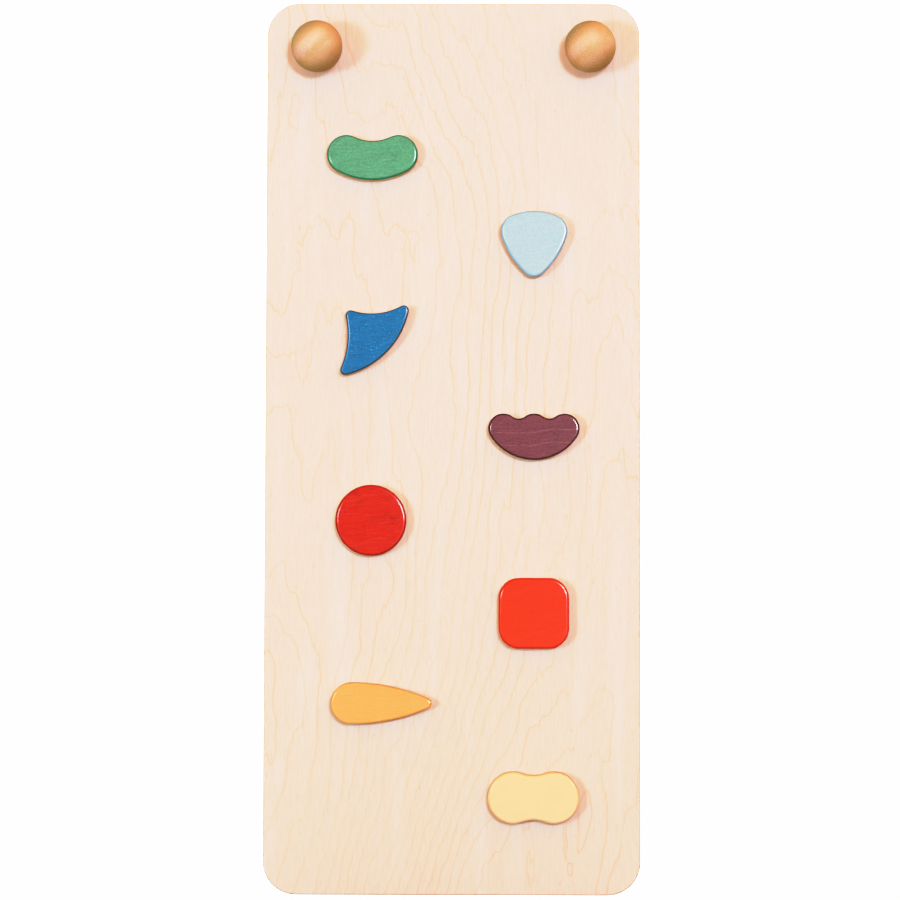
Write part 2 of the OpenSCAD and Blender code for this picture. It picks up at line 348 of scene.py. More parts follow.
@dataclass
class Skin:
    """What a finish works out for the shader of one piece.

    Attributes:
        colour: The base colour.
        roughness: Roughness, varying or even.
        height: Relief for the bump, in the unit of its depth, or None.
        depth: Depth of the relief in metres.
        metallic: 1 for bare metal.
        coat: Weight of a clear coat, varying or even.
        coat_roughness: Roughness of that coat.
        gloss: Specular level, 0.5 as a rule.
    """

    colour: Tint
    roughness: object
    height: Amount | None = None
    depth: float = 0.2 * MM
    metallic: float = 0.0
    coat: object = 0.0
    coat_roughness: float = 0.3
    gloss: float = 0.5


@dataclass(frozen=True)
class Finish:
    """A finish that can dress a piece.

    Attributes:
        name: The material's name.
    """

    name: str

    def skin(self, net: Net, spot: Spot) -> Skin:
        """Works out the surface; each kind of finish has its own."""
        raise NotImplementedError

    def material(self) -> bpy.types.Material:
        """Builds the material.

        Returns:
            The material, ready to assign.
        """
        made = bpy.data.materials.new(self.name)
        made.use_nodes = True
        net = Net(made.node_tree)
        source = net.add("ShaderNodeTexCoord")
        skin = self.skin(net, Spot(net, source.outputs["Object"]))
        feeds = {
            "Base Color": skin.colour,
            "Roughness": skin.roughness,
            "Metallic": skin.metallic,
            "Specular IOR Level": skin.gloss,
            "Coat Weight": skin.coat,
            "Coat Roughness": skin.coat_roughness,
        }
        if skin.height is not None:
            relief = {"Height": skin.height, "Strength": 1.0, "Distance": skin.depth}
            feeds["Normal"] = net.add("ShaderNodeBump", None, relief).outputs["Normal"]
        shader = net.add("ShaderNodeBsdfPrincipled", None, feeds)
        net.add("ShaderNodeOutputMaterial", None, {"Surface": shader.outputs["BSDF"]})
        return made


def ply_layers(net: Net, depth: Amount, layer: float) -> tuple[Amount, Amount]:
    """Finds which layer of plywood a point lies in.

    Args:
        net: The net that it is drawn in.
        depth: Depth below the face in metres.
        layer: Thickness of one layer.

    Returns:
        1 where the layer shows end grain on a side face and 0 elsewhere, and the closeness to a glue line.
    """
    count = depth / layer
    place = count.part()
    odd = ((count.whole() * 0.5).part() * 2).rise(0.3, 0.7)
    glue = abs(place - 0.5).rise(0.4, 0.5)
    normal = Spot(net, net.add("ShaderNodeNewGeometry").outputs["Normal"])
    sideways = (normal.x * normal.x).least(1)
    upwards = (normal.z * normal.z).least(1)
    end_grain = odd * sideways + (1 - odd) * upwards
    return end_grain, glue


@dataclass(frozen=True)
class BirchPly(Finish):
    """Oiled birch plywood: rotary-cut veneer on both faces, and layers along the edges.

    Attributes:
        half: Half the board's thickness.
        layer: Thickness of one layer.
        pale: The veneer away from the figure.
        warm: The veneer where it is warmer, in random patches and more towards the bottom left, so that the
            top right stays paler as a painted sheen.
        line: The growth lines of the figure.
        fleck: The short dark flecks.
        painted_sheen: The silky patches.
        edge: A layer on the edges that shows its long grain.
        edge_end: A layer on the edges that shows its end grain.
        glue: The glue lines on the edges.
        arch_width: Distance between the two places where the count of lines turns back.
        arch_lines: Lines from the middle to such a place, at the board's foot.
        arch_taper: Lines lost for each metre upwards.
        sway: Sideways bend of the figure, in metres for the square of a metre of height.
        sway_height: Height at which the figure runs upright.
        wander: Factors, detail, roughness and reach in lines of each scale at which the lines wander.
        line_core: Half the width of a line where it is darkest.
        line_half: Half its whole width.
        shade_width: Width of the soft shade beside a line.
        step: Distance over which the slope of the count is taken.
    """

    half: float = 9 * MM
    layer: float = 18 * MM / 13
    pale: Triple = (0.79, 0.635, 0.523)
    warm: Triple = (0.80, 0.615, 0.495)
    line: Triple = (0.80, 0.52, 0.36)
    fleck: Triple = paint(204, 150, 108)
    painted_sheen: Triple = paint(232, 226, 216)
    edge: Triple = paint(226, 182, 136)
    edge_end: Triple = paint(186, 126, 78)
    glue: Triple = paint(120, 74, 44)
    arch_width: float = 0.41
    arch_lines: float = 9.0
    arch_taper: float = 3.6
    sway: float = 0.25
    sway_height: float = 0.6
    wander: tuple[tuple[Triple, float, float, float], ...] = (
        ((4.5, 40, 1.7), 1.0, 0.5, 9),
        ((19, 60, 5.0), 1.0, 0.5, 2.6),
        ((62, 90, 15), 2.0, 0.55, 0.95),
    )
    line_core: float = 0.2 * MM
    line_half: float = 1.25 * MM
    shade_width: float = 5 * MM
    step: float = 0.6 * MM

    def _rings(self, spot: Spot) -> Amount:
        """Counts the growth rings that the cutting knife has crossed.

        The count climbs across the middle of the board and turns back near both edges, where the lines close
        into arches. It wanders at three scales.

        Args:
            spot: The point on the board.

        Returns:
            The count, with a growth line half way between whole numbers.
        """
        height = spot.z - self.sway_height
        swung = spot.x + height * height * self.sway
        arches = (swung * (math.pi / self.arch_width)).wave()
        count = arches * (self.arch_lines - spot.z * self.arch_taper)
        for factors, detail, rough, reach in self.wander:
            count = count + spot.scaled(*factors).noise(detail, rough) * reach
        return count

    def _figure(self, spot: Spot) -> tuple[Amount, Amount]:
        """Draws the growth lines at one width, however fast the count changes.

        Args:
            spot: The point on the board.

        Returns:
            1 on a line, and the softer shade beside each line.
        """
        least_slope = 8
        here = self._rings(spot)
        slope_across = self._rings(spot.placed((-self.step, 0, 0))) - here
        slope_up = self._rings(spot.placed((0, 0, -self.step))) - here
        slope = (slope_across * slope_across + slope_up * slope_up) ** 0.5 / self.step
        distance = (here.part() - 0.5) / slope.most(least_slope)
        line = abs(distance).fall(self.line_core, self.line_half)
        shade = distance.fall(0.0, self.shade_width) * distance.rise(-0.9 * MM, 0.0)
        return line, shade

    def skin(self, net: Net, spot: Spot) -> Skin:
        """Lays the veneer on the faces and the layers on the edges.

        Args:
            net: The net to draw in.
            spot: The point on the board.

        Returns:
            The surface.
        """
        depth = self.half - abs(spot.y)
        line, shade = self._figure(spot)
        strength = spot.scaled(9, 30, 4).noise(2.0, 0.6).rise(0.3, 0.65) * 0.55 + 0.15
        fibre = spot.scaled(620, 40, 60).noise(2.0, 0.7)
        dash = spot.scaled(480, 60, 120).noise(1.0).rise(0.52, 0.72)
        # Painted sheen: pale silky patches stand in for the lamp's reflection on the veneer; they are also a
        # little smoother.
        painted_sheen = spot.scaled(42, 30, 4.5).noise(4.0, 0.65)
        # The warm veneer lies in random patches and also more towards the bottom left, so the top right stays
        # paler as a painted sheen.
        tone_and_sheen = spot.scaled(2.2, 10, 1.3).noise(1.0) + spot.x * -0.35 + (spot.z - 0.5) * -0.45
        fleck = spot.scaled(330, 60, 110).noise(1.0).rise(0.74, 0.82)
        veneer = Tint(net, self.pale).mix(self.warm, tone_and_sheen.rise(0.2, 0.85))
        veneer = veneer.mix(self.line, (line * strength + shade * 0.2).least(1))
        veneer = veneer.mix(self.line, dash * 0.22)
        veneer = veneer.mix(self.fleck, fleck * 0.35)
        veneer = veneer.shade(0.9 + fibre * 0.2)
        veneer = veneer.mix(self.painted_sheen, painted_sheen.rise(0.5, 0.75) * 0.3)
        end_grain, glue = ply_layers(net, depth, self.layer)
        pores = spot.scaled(*PORES).noise(2.0, 0.7)
        edge = Tint(net, self.edge).mix(self.edge_end, end_grain * 0.75)
        edge = edge.mix(self.glue, glue * 0.55).shade(0.88 + pores * 0.24)
        on_edge = depth.rise(self.layer * 0.97, self.layer * 1.03)
        roughness = 0.5 - painted_sheen.rise(0.4, 0.75) * 0.16 + fibre * 0.1 + on_edge * 0.12
        height = fibre * 0.8 + line * 0.15 + (pores - glue * 0.8) * on_edge
        return Skin(veneer.mix(edge, on_edge), roughness, height, 0.12 * MM, gloss=0.15)


@dataclass(frozen=True)
class StainedPly(Finish):
    """A stained and varnished grip face with bare plywood sides.

    Attributes:
        stain: The stain where it took evenly.
        drink: How dark the thirsty grain is, as a share of the stain.
        show: How much of the wood below shows through the thin grain.
        below: The colour of what shows.
        rim: Painted shade on the rounded rim, darker than the stain where the rounding turns away from the
            light.
        streaks: Strength of the dark streaks.
        pale_streaks: Strength of the pale streaks.
        cloud: Strength of the cloudy patches.
        specks: Strength of pale specks and scratches.
        waves: How much the grain wanders.
        veins: Heights of pale veins across the grip, from its middle.
        mottle: Strength of the fine mottle.
        varnish: Share of the face under varnish.
        centre: The middle of the grip.
        front: Where the grip's face lies.
        stain_depth: How far the stain reaches down the side.
        layer: Thickness of one layer of plywood.
        side: A layer on the side that shows its long grain.
        side_end: A layer on the side that shows its end grain.
        glue: The glue lines on the side.
        vein_wander: How far a vein strays from its height.
        vein_rise: How much higher its right end lies.
        vein_half: Half the width of a vein.
    """

    stain: Triple = (0.5, 0.5, 0.5)
    drink: float = 0.6
    show: float = 0.3
    below: Triple = BARE_WOOD
    rim: Triple = (0.01, 0.01, 0.01)
    streaks: float = 0.6
    pale_streaks: float = 0.5
    cloud: float = 0.3
    specks: float = 0.0
    waves: float = 0.3
    veins: tuple[float, ...] = ()
    mottle: float = 0.5
    varnish: float = 1.0
    centre: Triple = (0.0, 0.0, 0.0)
    front: float = -24 * MM
    stain_depth: float = 3.6 * MM
    layer: float = 15 * MM / 11
    side: Triple = paint(224, 194, 124)
    side_end: Triple = paint(168, 134, 70)
    glue: Triple = paint(92, 70, 36)
    vein_wander: float = 14 * MM
    vein_rise: float = 5 * MM
    vein_half: float = 0.8 * MM

    def _stained(self, net: Net, own: Spot) -> tuple[Tint, Amount]:
        """Draws the stained grain of the face.

        Args:
            net: The net to draw in.
            own: The point, measured from the middle of the grip.

        Returns:
            The stained colour and the grain's height.
        """
        deep = tuple(c * self.drink for c in self.stain)
        thin = tuple(c + (w - c) * self.show for c, w in zip(self.stain, self.below))
        bend = own.scaled(16, 10, 30).noise(2.0, 0.5) * self.waves
        along = {"X": own.x * 55, "Y": own.y * 60, "Z": own.z * 820 + bend * 60}
        drawn = net.add("ShaderNodeCombineXYZ", None, along).outputs["Vector"]
        grain = Spot(net, drawn).noise(3.0, 0.7)
        broad = own.scaled(24, 60, 260).noise(2.0, 0.6)
        cloud = own.scaled(50, 60, 90).noise(3.0, 0.6)
        colour = Tint(net, self.stain)
        colour = colour.mix(deep, grain.rise(0.5, 0.72) * self.streaks)
        colour = colour.mix(thin, grain.fall(0.3, 0.5) * self.pale_streaks)
        colour = colour.mix(thin, broad.rise(0.5, 0.75) * (self.pale_streaks * 0.5))
        colour = colour.mix(deep, cloud.rise(0.45, 0.75) * self.cloud)
        mottle = own.scaled(430, 300, 560).noise(3.0, 0.8) - 0.5
        colour = colour.shade(1 + mottle * self.mottle)
        for height in self.veins:
            wander = (own.scaled(22, 10, 0).noise(2.0, 0.5) - 0.5) * self.vein_wander
            rise = own.x.rise(-20 * MM, 30 * MM) * self.vein_rise
            vein = abs(own.z + wander - rise - height).fall(0.0, self.vein_half)
            colour = colour.mix(thin, vein * own.scaled(90, 10, 0).noise(1.0).rise(0.3, 0.6))
        if self.specks:
            dots = own.scaled(560, 300, 560).noise(1.0).rise(0.58, 0.80)
            scratch = own.placed(turn=SLANT).scaled(120, 200, 1300).noise(1.0).rise(0.74, 0.84)
            colour = colour.mix(thin, dots.most(scratch) * self.specks)
        return colour, grain

    def skin(self, net: Net, spot: Spot) -> Skin:
        """Lays the stain on the front and the plywood on the sides.

        Args:
            net: The net to draw in.
            spot: The point on the grip.

        Returns:
            The surface.
        """
        own = spot.placed(self.centre)
        stained, grain = self._stained(net, own)
        depth = spot.y - self.front
        end_grain, glue = ply_layers(net, depth, self.layer)
        pores = spot.scaled(*PORES).noise(2.0, 0.7)
        side = Tint(net, self.side).mix(self.side_end, end_grain * 0.7)
        side = side.mix(self.glue, glue * 0.4).shade(0.85 + pores * 0.3)
        ragged = depth + (own.scaled(300, 100, 300).noise(2.0) - 0.5) * (0.8 * MM)
        blur = 0.3 * MM
        bare = ragged.rise(self.stain_depth - blur, self.stain_depth + blur)
        # Painted shade: the outer part of the front rounding takes the darker rim colour, as where it turns
        # away from the light; it is also rougher and less varnished there.
        rim_shade = depth.rise(0.35 * MM, 0.9 * MM)
        stained = stained.mix(self.rim, rim_shade * 0.95)
        roughness = 0.42 + grain * 0.14 + rim_shade * 0.2
        height = grain + pores * bare * 0.6
        coat = (1 - rim_shade * 0.85) * self.varnish
        colour = stained.mix(side, bare)
        return Skin(colour, roughness, height, 0.06 * MM, coat=coat, coat_roughness=0.14, gloss=0.12)


@dataclass(frozen=True)
class TurnedBeech(Finish):
    """Oiled turned beech, with rings about a pith and short ray flecks.

    Attributes:
        centre: The ball's centre.
        turn: Turn of the grain in degrees; its fibres run along the turned Y.
        pith: Where the pith passes the centre, across and up, in metres.
        ring: Spacing of the rings.
        rings: How strongly the rings show.
        painted_highlight: How strongly the painted highlight shows, a pale stripe across the top left that
            stands in for the lamps' merged highlights.
        tone: Brightness of the wood, 1 as a rule.
        wood: Colour of the wood between the rings.
        late: Colour of the dark side of a ring.
        cloudy: Colour of the pale clouds.
        painted_highlight_colour: Colour of the painted highlight.
        painted_equator_shade: Colour of the painted shade half way from front to back, where the ball's
            outline turns away from the light.
        painted_top_shade: Colour of the painted shade towards the top left.
        painted_low_shade: Colour of the painted shade towards the bottom right.
        fleck: Colour of the ray flecks.
    """

    centre: Triple = (0.0, 0.0, 0.0)
    turn: Triple = (0.0, 0.0, 0.0)
    pith: tuple[float, float] = (0.0, 0.0)
    ring: float = 3 * MM
    rings: float = 0.3
    painted_highlight: float = 0.5
    tone: float = 1.0
    wood: Triple = paint(214, 172, 120)
    late: Triple = paint(190, 138, 76)
    cloudy: Triple = paint(224, 188, 150)
    painted_highlight_colour: Triple = paint(232, 190, 168)
    painted_equator_shade: Triple = paint(158, 120, 20)
    painted_top_shade: Triple = paint(110, 118, 76)
    painted_low_shade: Triple = paint(124, 78, 0)
    fleck: Triple = paint(132, 78, 38)

    def skin(self, net: Net, spot: Spot) -> Skin:
        """Draws the rings, flecks and pores, with a painted highlight and painted shade.

        Args:
            net: The net to draw in.
            spot: The point on the ball.

        Returns:
            The surface.
        """
        own = spot.placed(self.centre, self.turn)
        bent = (own.scaled(30, 8, 30).noise(2.0, 0.5) - 0.5) * (5 * MM)
        bent = bent + (own.scaled(220, 20, 220).noise(1.0) - 0.5) * (1.4 * MM)
        across = own.x - self.pith[0]
        up = own.z - self.pith[1]
        radius = (across * across + up * up) ** 0.5 + bent
        place = (radius / self.ring).part()
        ring = place.rise(0.2, 0.9) * place.fall(0.92, 1.0)
        fibre = own.scaled(700, 30, 700).noise(3.0, 0.6)
        cloud = own.scaled(60, 20, 60).noise(2.0, 0.5)
        # Painted highlight: a pale diagonal stripe across the top left stands in for the lamps' highlights.
        slant = spot.placed(self.centre, SLANT)
        from_highlight = abs(slant.z - 5 * MM + (cloud - 0.5) * (6 * MM))
        painted_highlight = from_highlight.fall(2 * MM, 11 * MM) * slant.x.fall(4 * MM, 20 * MM)
        fleck = own.scaled(420, 120, 600).noise(1.0).rise(0.72, 0.8)
        colour = Tint(net, self.wood).mix(self.late, ring * self.rings)
        colour = colour.mix(self.cloudy, cloud.rise(0.45, 0.75) * 0.5)
        colour = colour.mix(self.painted_highlight_colour, painted_highlight * self.painted_highlight)
        # Painted shade: darker half way from front to back, towards the top left and towards the bottom
        # right, where less light falls.
        colour = colour.mix(self.painted_equator_shade, abs(slant.y).fall(0.0, 24 * MM) * 0.7)
        colour = colour.mix(self.painted_top_shade, slant.z.rise(8 * MM, 26 * MM) * 0.6)
        colour = colour.mix(self.painted_low_shade, slant.z.fall(-29 * MM, -12 * MM) * 0.4)
        colour = colour.mix(self.fleck, fleck * 0.4)
        colour = colour.shade((0.7 + fibre * 0.6) * self.tone)
        roughness = 0.44 + fibre * 0.16
        height = fibre * 0.6 - fleck * 0.3 - ring * 0.1
        return Skin(colour, roughness, height, 0.08 * MM, gloss=0.12)


@dataclass(frozen=True)
class Metal(Finish):
    """Bare or plated metal, brushed by its making.

    Attributes:
        bright: The clean metal.
        dull: The metal where it has dulled.
        smooth: Roughness of the clean metal.
    """

    bright: Triple = (0.6, 0.6, 0.6)
    dull: Triple = (0.4, 0.4, 0.4)
    smooth: float = 0.28

    def skin(self, net: Net, spot: Spot) -> Skin:
        """Draws fine marks and dull patches.

        Args:
            net: The net to draw in.
            spot: The point on the piece.

        Returns:
            The surface.
        """
        marks = spot.scaled(900, 6000, 900).noise(2.0, 0.6)
        patch = spot.scaled(260, 260, 260).noise(3.0, 0.6)
        colour = Tint(net, self.bright).mix(self.dull, patch.rise(0.45, 0.75)).shade(0.9 + marks * 0.2)
        roughness = self.smooth + patch * 0.18 + marks * 0.08
        return Skin(colour, roughness, marks, 0.02 * MM, metallic=1.0)


# ----------------------------------------------------------------------------------------------------
# Pieces
# ----------------------------------------------------------------------------------------------------


def dress(obj: bpy.types.Object, finish: Finish) -> None:
    """Gives a piece its finish.

    Args:
        obj: A new piece or a CAD node.
        finish: The finish that it takes.
    """
    made = finish.material()
    if not obj.material_slots:
        obj.data.materials.append(made)
    for place in obj.material_slots:
        place.material = made
    LOG.info("dressed %s in %s", obj.name, finish.name)


def middle_of(node: str) -> Vector:
    """Returns the middle of a CAD node's box."""
    low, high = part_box(node)
    return (low + high) / 2


@dataclass
class Board:
    """The plywood board with the studs that pass through it.

    Attributes:
        node: The board's CAD node.
        studs: The CAD nodes of the two studs.
    """

    node: str = "climbing_board"
    studs: tuple[str, str] = ("left_stud", "right_stud")

    def dress(self) -> None:
        """Dresses the board in veneer and the studs in steel."""
        dress(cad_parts[self.node], BirchPly("oiled_birch_ply"))
        for node in self.studs:
            dress(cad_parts[node], ZINC)


class Place(Enum):
    """Where a ball stands on the board."""

    FRONT_LEFT = "front_left"
    FRONT_RIGHT = "front_right"
    REAR_LEFT = "rear_left"
    REAR_RIGHT = "rear_right"


@dataclass
class Ball:
    """A turned ball and the insert sunk in it.

    Attributes:
        place: Where it stands.
        grain: Its grain, as fields of the beech.
    """

    place: Place
    grain: dict

    def dress(self) -> None:
        """Dresses the ball in beech and its insert in brass."""
        name = f"{self.place.value}_ball"
        centre = tuple(middle_of(name))
        finish = TurnedBeech(f"beech_{self.place.value}", centre, **self.grain)
        dress(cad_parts[name], finish)
        dress(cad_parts[f"{self.place.value}_insert"], BRASS)


@dataclass
class Grip:
    """One stained grip, rebuilt from its CAD outline with a finely rounded front edge.

    Attributes:
        colour: The grip's name without "_grip".
        slot: The record's material slot.
        finish: Its stain.
        rim: Radius of the front edge.
        steps: Facets across that radius.
        back_rim: Radius of the back edge.
        back_steps: Facets across that radius.
        ring: Width of the flat ring just inside the rounding.
    """

    colour: str
    slot: str
    finish: dict
    rim: float = 4 * MM
    steps: int = 8
    back_rim: float = 1.4 * MM
    back_steps: int = 4
    ring: float = 0.4 * MM

    @property
    def node(self) -> str:
        """The grip's CAD node."""
        return f"{self.colour}_grip"

    @property
    def shaped(self) -> str:
        """The name of the rebuilt grip."""
        return f"{self.node}_shaped"

    def _outline(self, shell: bmesh.types.BMesh, back_y: float) -> list[bmesh.types.BMEdge]:
        """Strips a copy of the CAD grip to the outline of its back and its screw holes.

        Args:
            shell: A mesh to fill with the copy.
            back_y: Where the back face lies.

        Returns:
            The edges of the outline.
        """
        shell.from_mesh(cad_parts[self.node].data)
        bmesh.ops.remove_doubles(shell, verts=shell.verts, dist=WELD)
        back = {f for f in shell.faces if all(abs(v.co.y - back_y) < TIGHT for v in f.verts)}
        border = [e for f in back for e in f.edges if sum(g in back for g in e.link_faces) == 1]
        outline = set(self._longest_loop(border))
        outside = self._beyond(outline, back)
        bmesh.ops.delete(shell, geom=list(outside | back), context="FACES_ONLY")
        loose = [e for e in shell.edges if e.is_wire and e not in outline]
        bmesh.ops.delete(shell, geom=loose, context="EDGES_FACES")
        bmesh.ops.delete(shell, geom=[v for v in shell.verts if not v.link_edges], context="VERTS")
        return list(outline)

    @staticmethod
    def _longest_loop(edges: list[bmesh.types.BMEdge]) -> list[bmesh.types.BMEdge]:
        """Picks the closed loop with the greatest length.

        Args:
            edges: Edges of one or more loops.

        Returns:
            The edges of the longest loop.
        """
        left = set(edges)
        best: list[bmesh.types.BMEdge] = []
        while left:
            loop = [left.pop()]
            for edge in loop:
                near = {e for v in edge.verts for e in v.link_edges if e in left}
                left -= near
                loop.extend(near)
            if sum(e.calc_length() for e in loop) > sum(e.calc_length() for e in best):
                best = loop
        return best

    @staticmethod
    def _beyond(outline: set[bmesh.types.BMEdge], back: set[bmesh.types.BMFace]) -> set[bmesh.types.BMFace]:
        """Collects the faces reached from the outline without crossing the back face.

        Args:
            outline: The outer loop of the back face.
            back: The faces of the back.

        Returns:
            The side and front faces.
        """
        found = {f for e in outline for f in e.link_faces if f not in back}
        waiting = list(found)
        while waiting:
            face = waiting.pop()
            for near in (f for e in face.edges for f in e.link_faces):
                if near not in found and near not in back:
                    found.add(near)
                    waiting.append(near)
        return found

    def _round(self, shell: bmesh.types.BMesh, level: float, radius: float, steps: int) -> bmesh.types.BMFace:
        """Rounds the edge of the flat face at one level.

        Args:
            shell: The grip.
            level: Where the flat face lies.
            radius: Radius of the rounding.
            steps: Facets across it.

        Returns:
            The flat face that is left.
        """
        flat = max(self._level_faces(shell, level), key=lambda f: f.calc_area())
        bmesh.ops.bevel(
            shell,
            geom=list(flat.edges),
            offset=radius,
            offset_type="OFFSET",
            affect="EDGES",
            segments=steps,
            profile=0.5,
            material=-1,
            clamp_overlap=False,
        )
        return max(self._level_faces(shell, level), key=lambda f: f.calc_area())

    @staticmethod
    def _level_faces(shell: bmesh.types.BMesh, level: float) -> list[bmesh.types.BMFace]:
        """Returns the faces that lie wholly at one level."""
        return [f for f in shell.faces if all(abs(v.co.y - level) < TIGHT for v in f.verts)]

    def build(self) -> bpy.types.Object:
        """Raises the wall from the outline, closes and rounds both ends, and replaces the CAD node.

        Returns:
            The new grip.
        """
        low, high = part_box(self.node)
        shell = bmesh.new()
        outline = self._outline(shell, high.y)
        bmesh.ops.contextual_create(shell, geom=outline)
        raised = bmesh.ops.extrude_edge_only(shell, edges=outline)["geom"]
        verts = [g for g in raised if isinstance(g, bmesh.types.BMVert)]
        bmesh.ops.translate(shell, verts=verts, vec=(0, low.y - high.y, 0))
        edges = [g for g in raised if isinstance(g, bmesh.types.BMEdge)]
        front_edges = [e for e in edges if all(v in verts for v in e.verts)]
        bmesh.ops.contextual_create(shell, geom=front_edges)
        bmesh.ops.recalc_face_normals(shell, faces=shell.faces)
        front = self._round(shell, low.y, self.rim, self.steps)
        bmesh.ops.inset_region(shell, faces=[front], thickness=self.ring, use_even_offset=True)
        back = self._round(shell, high.y, self.back_rim, self.back_steps)
        back_edges = list(back.edges)
        bmesh.ops.delete(shell, geom=[back], context="FACES_ONLY")
        holes = [e for e in shell.edges if e.is_boundary and e not in back_edges]
        bmesh.ops.triangle_fill(shell, edges=back_edges + holes, use_beauty=True, normal=(0, 1, 0))
        bmesh.ops.triangulate(shell, faces=[f for f in shell.faces if len(f.verts) > 4])
        bmesh.ops.recalc_face_normals(shell, faces=shell.faces)
        for face in shell.faces:
            face.smooth = True
        for edge in shell.edges:
            edge.smooth = edge.calc_face_angle(0.0) < SHARP
        mesh = bpy.data.meshes.new(self.shaped)
        shell.to_mesh(mesh)
        shell.free()
        made = bpy.data.objects.new(self.shaped, mesh)
        bpy.context.scene.collection.objects.link(made)
        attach(made, BODY)
        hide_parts(self.node)
        return made

    def dress(self) -> None:
        """Builds the grip, stains it, and dresses its screws in steel."""
        made = self.build()
        middle = tuple(middle_of(self.node))
        dress(made, StainedPly(f"{self.slot}_on_ply", centre=middle, **self.finish))
        dress(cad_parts[f"{self.colour}_screws"], ZINC)


# ----------------------------------------------------------------------------------------------------
# Studio
# ----------------------------------------------------------------------------------------------------


class Work(Enum):
    """What a softbox lights."""

    MATT = "matt"
    SHEEN = "sheen"


@dataclass(frozen=True)
class Softbox:
    """A square area light aimed at a point.

    Attributes:
        name: The light's name.
        place: Its position.
        size: Its side in metres.
        power: Its power in watts.
        colour: Its linear colour.
        work: What it lights.
        aim: The point that it faces.
    """

    name: str
    place: Triple
    size: float
    power: float
    colour: Triple
    work: Work
    aim: Triple = (0.0, 0.0, 0.55)

    def build(self) -> None:
        """Hangs the light."""
        lamp = bpy.data.lights.new(self.name, "AREA")
        lamp.shape = "SQUARE"
        lamp.size = self.size
        lamp.energy = self.power
        lamp.color = self.colour
        made = bpy.data.objects.new(self.name, lamp)
        made.location = self.place
        made.rotation_euler = (Vector(self.aim) - Vector(self.place)).to_track_quat("-Z", "Y").to_euler()
        made.visible_glossy = self.work is Work.SHEEN
        made.visible_diffuse = self.work is Work.MATT
        bpy.context.scene.collection.objects.link(made)


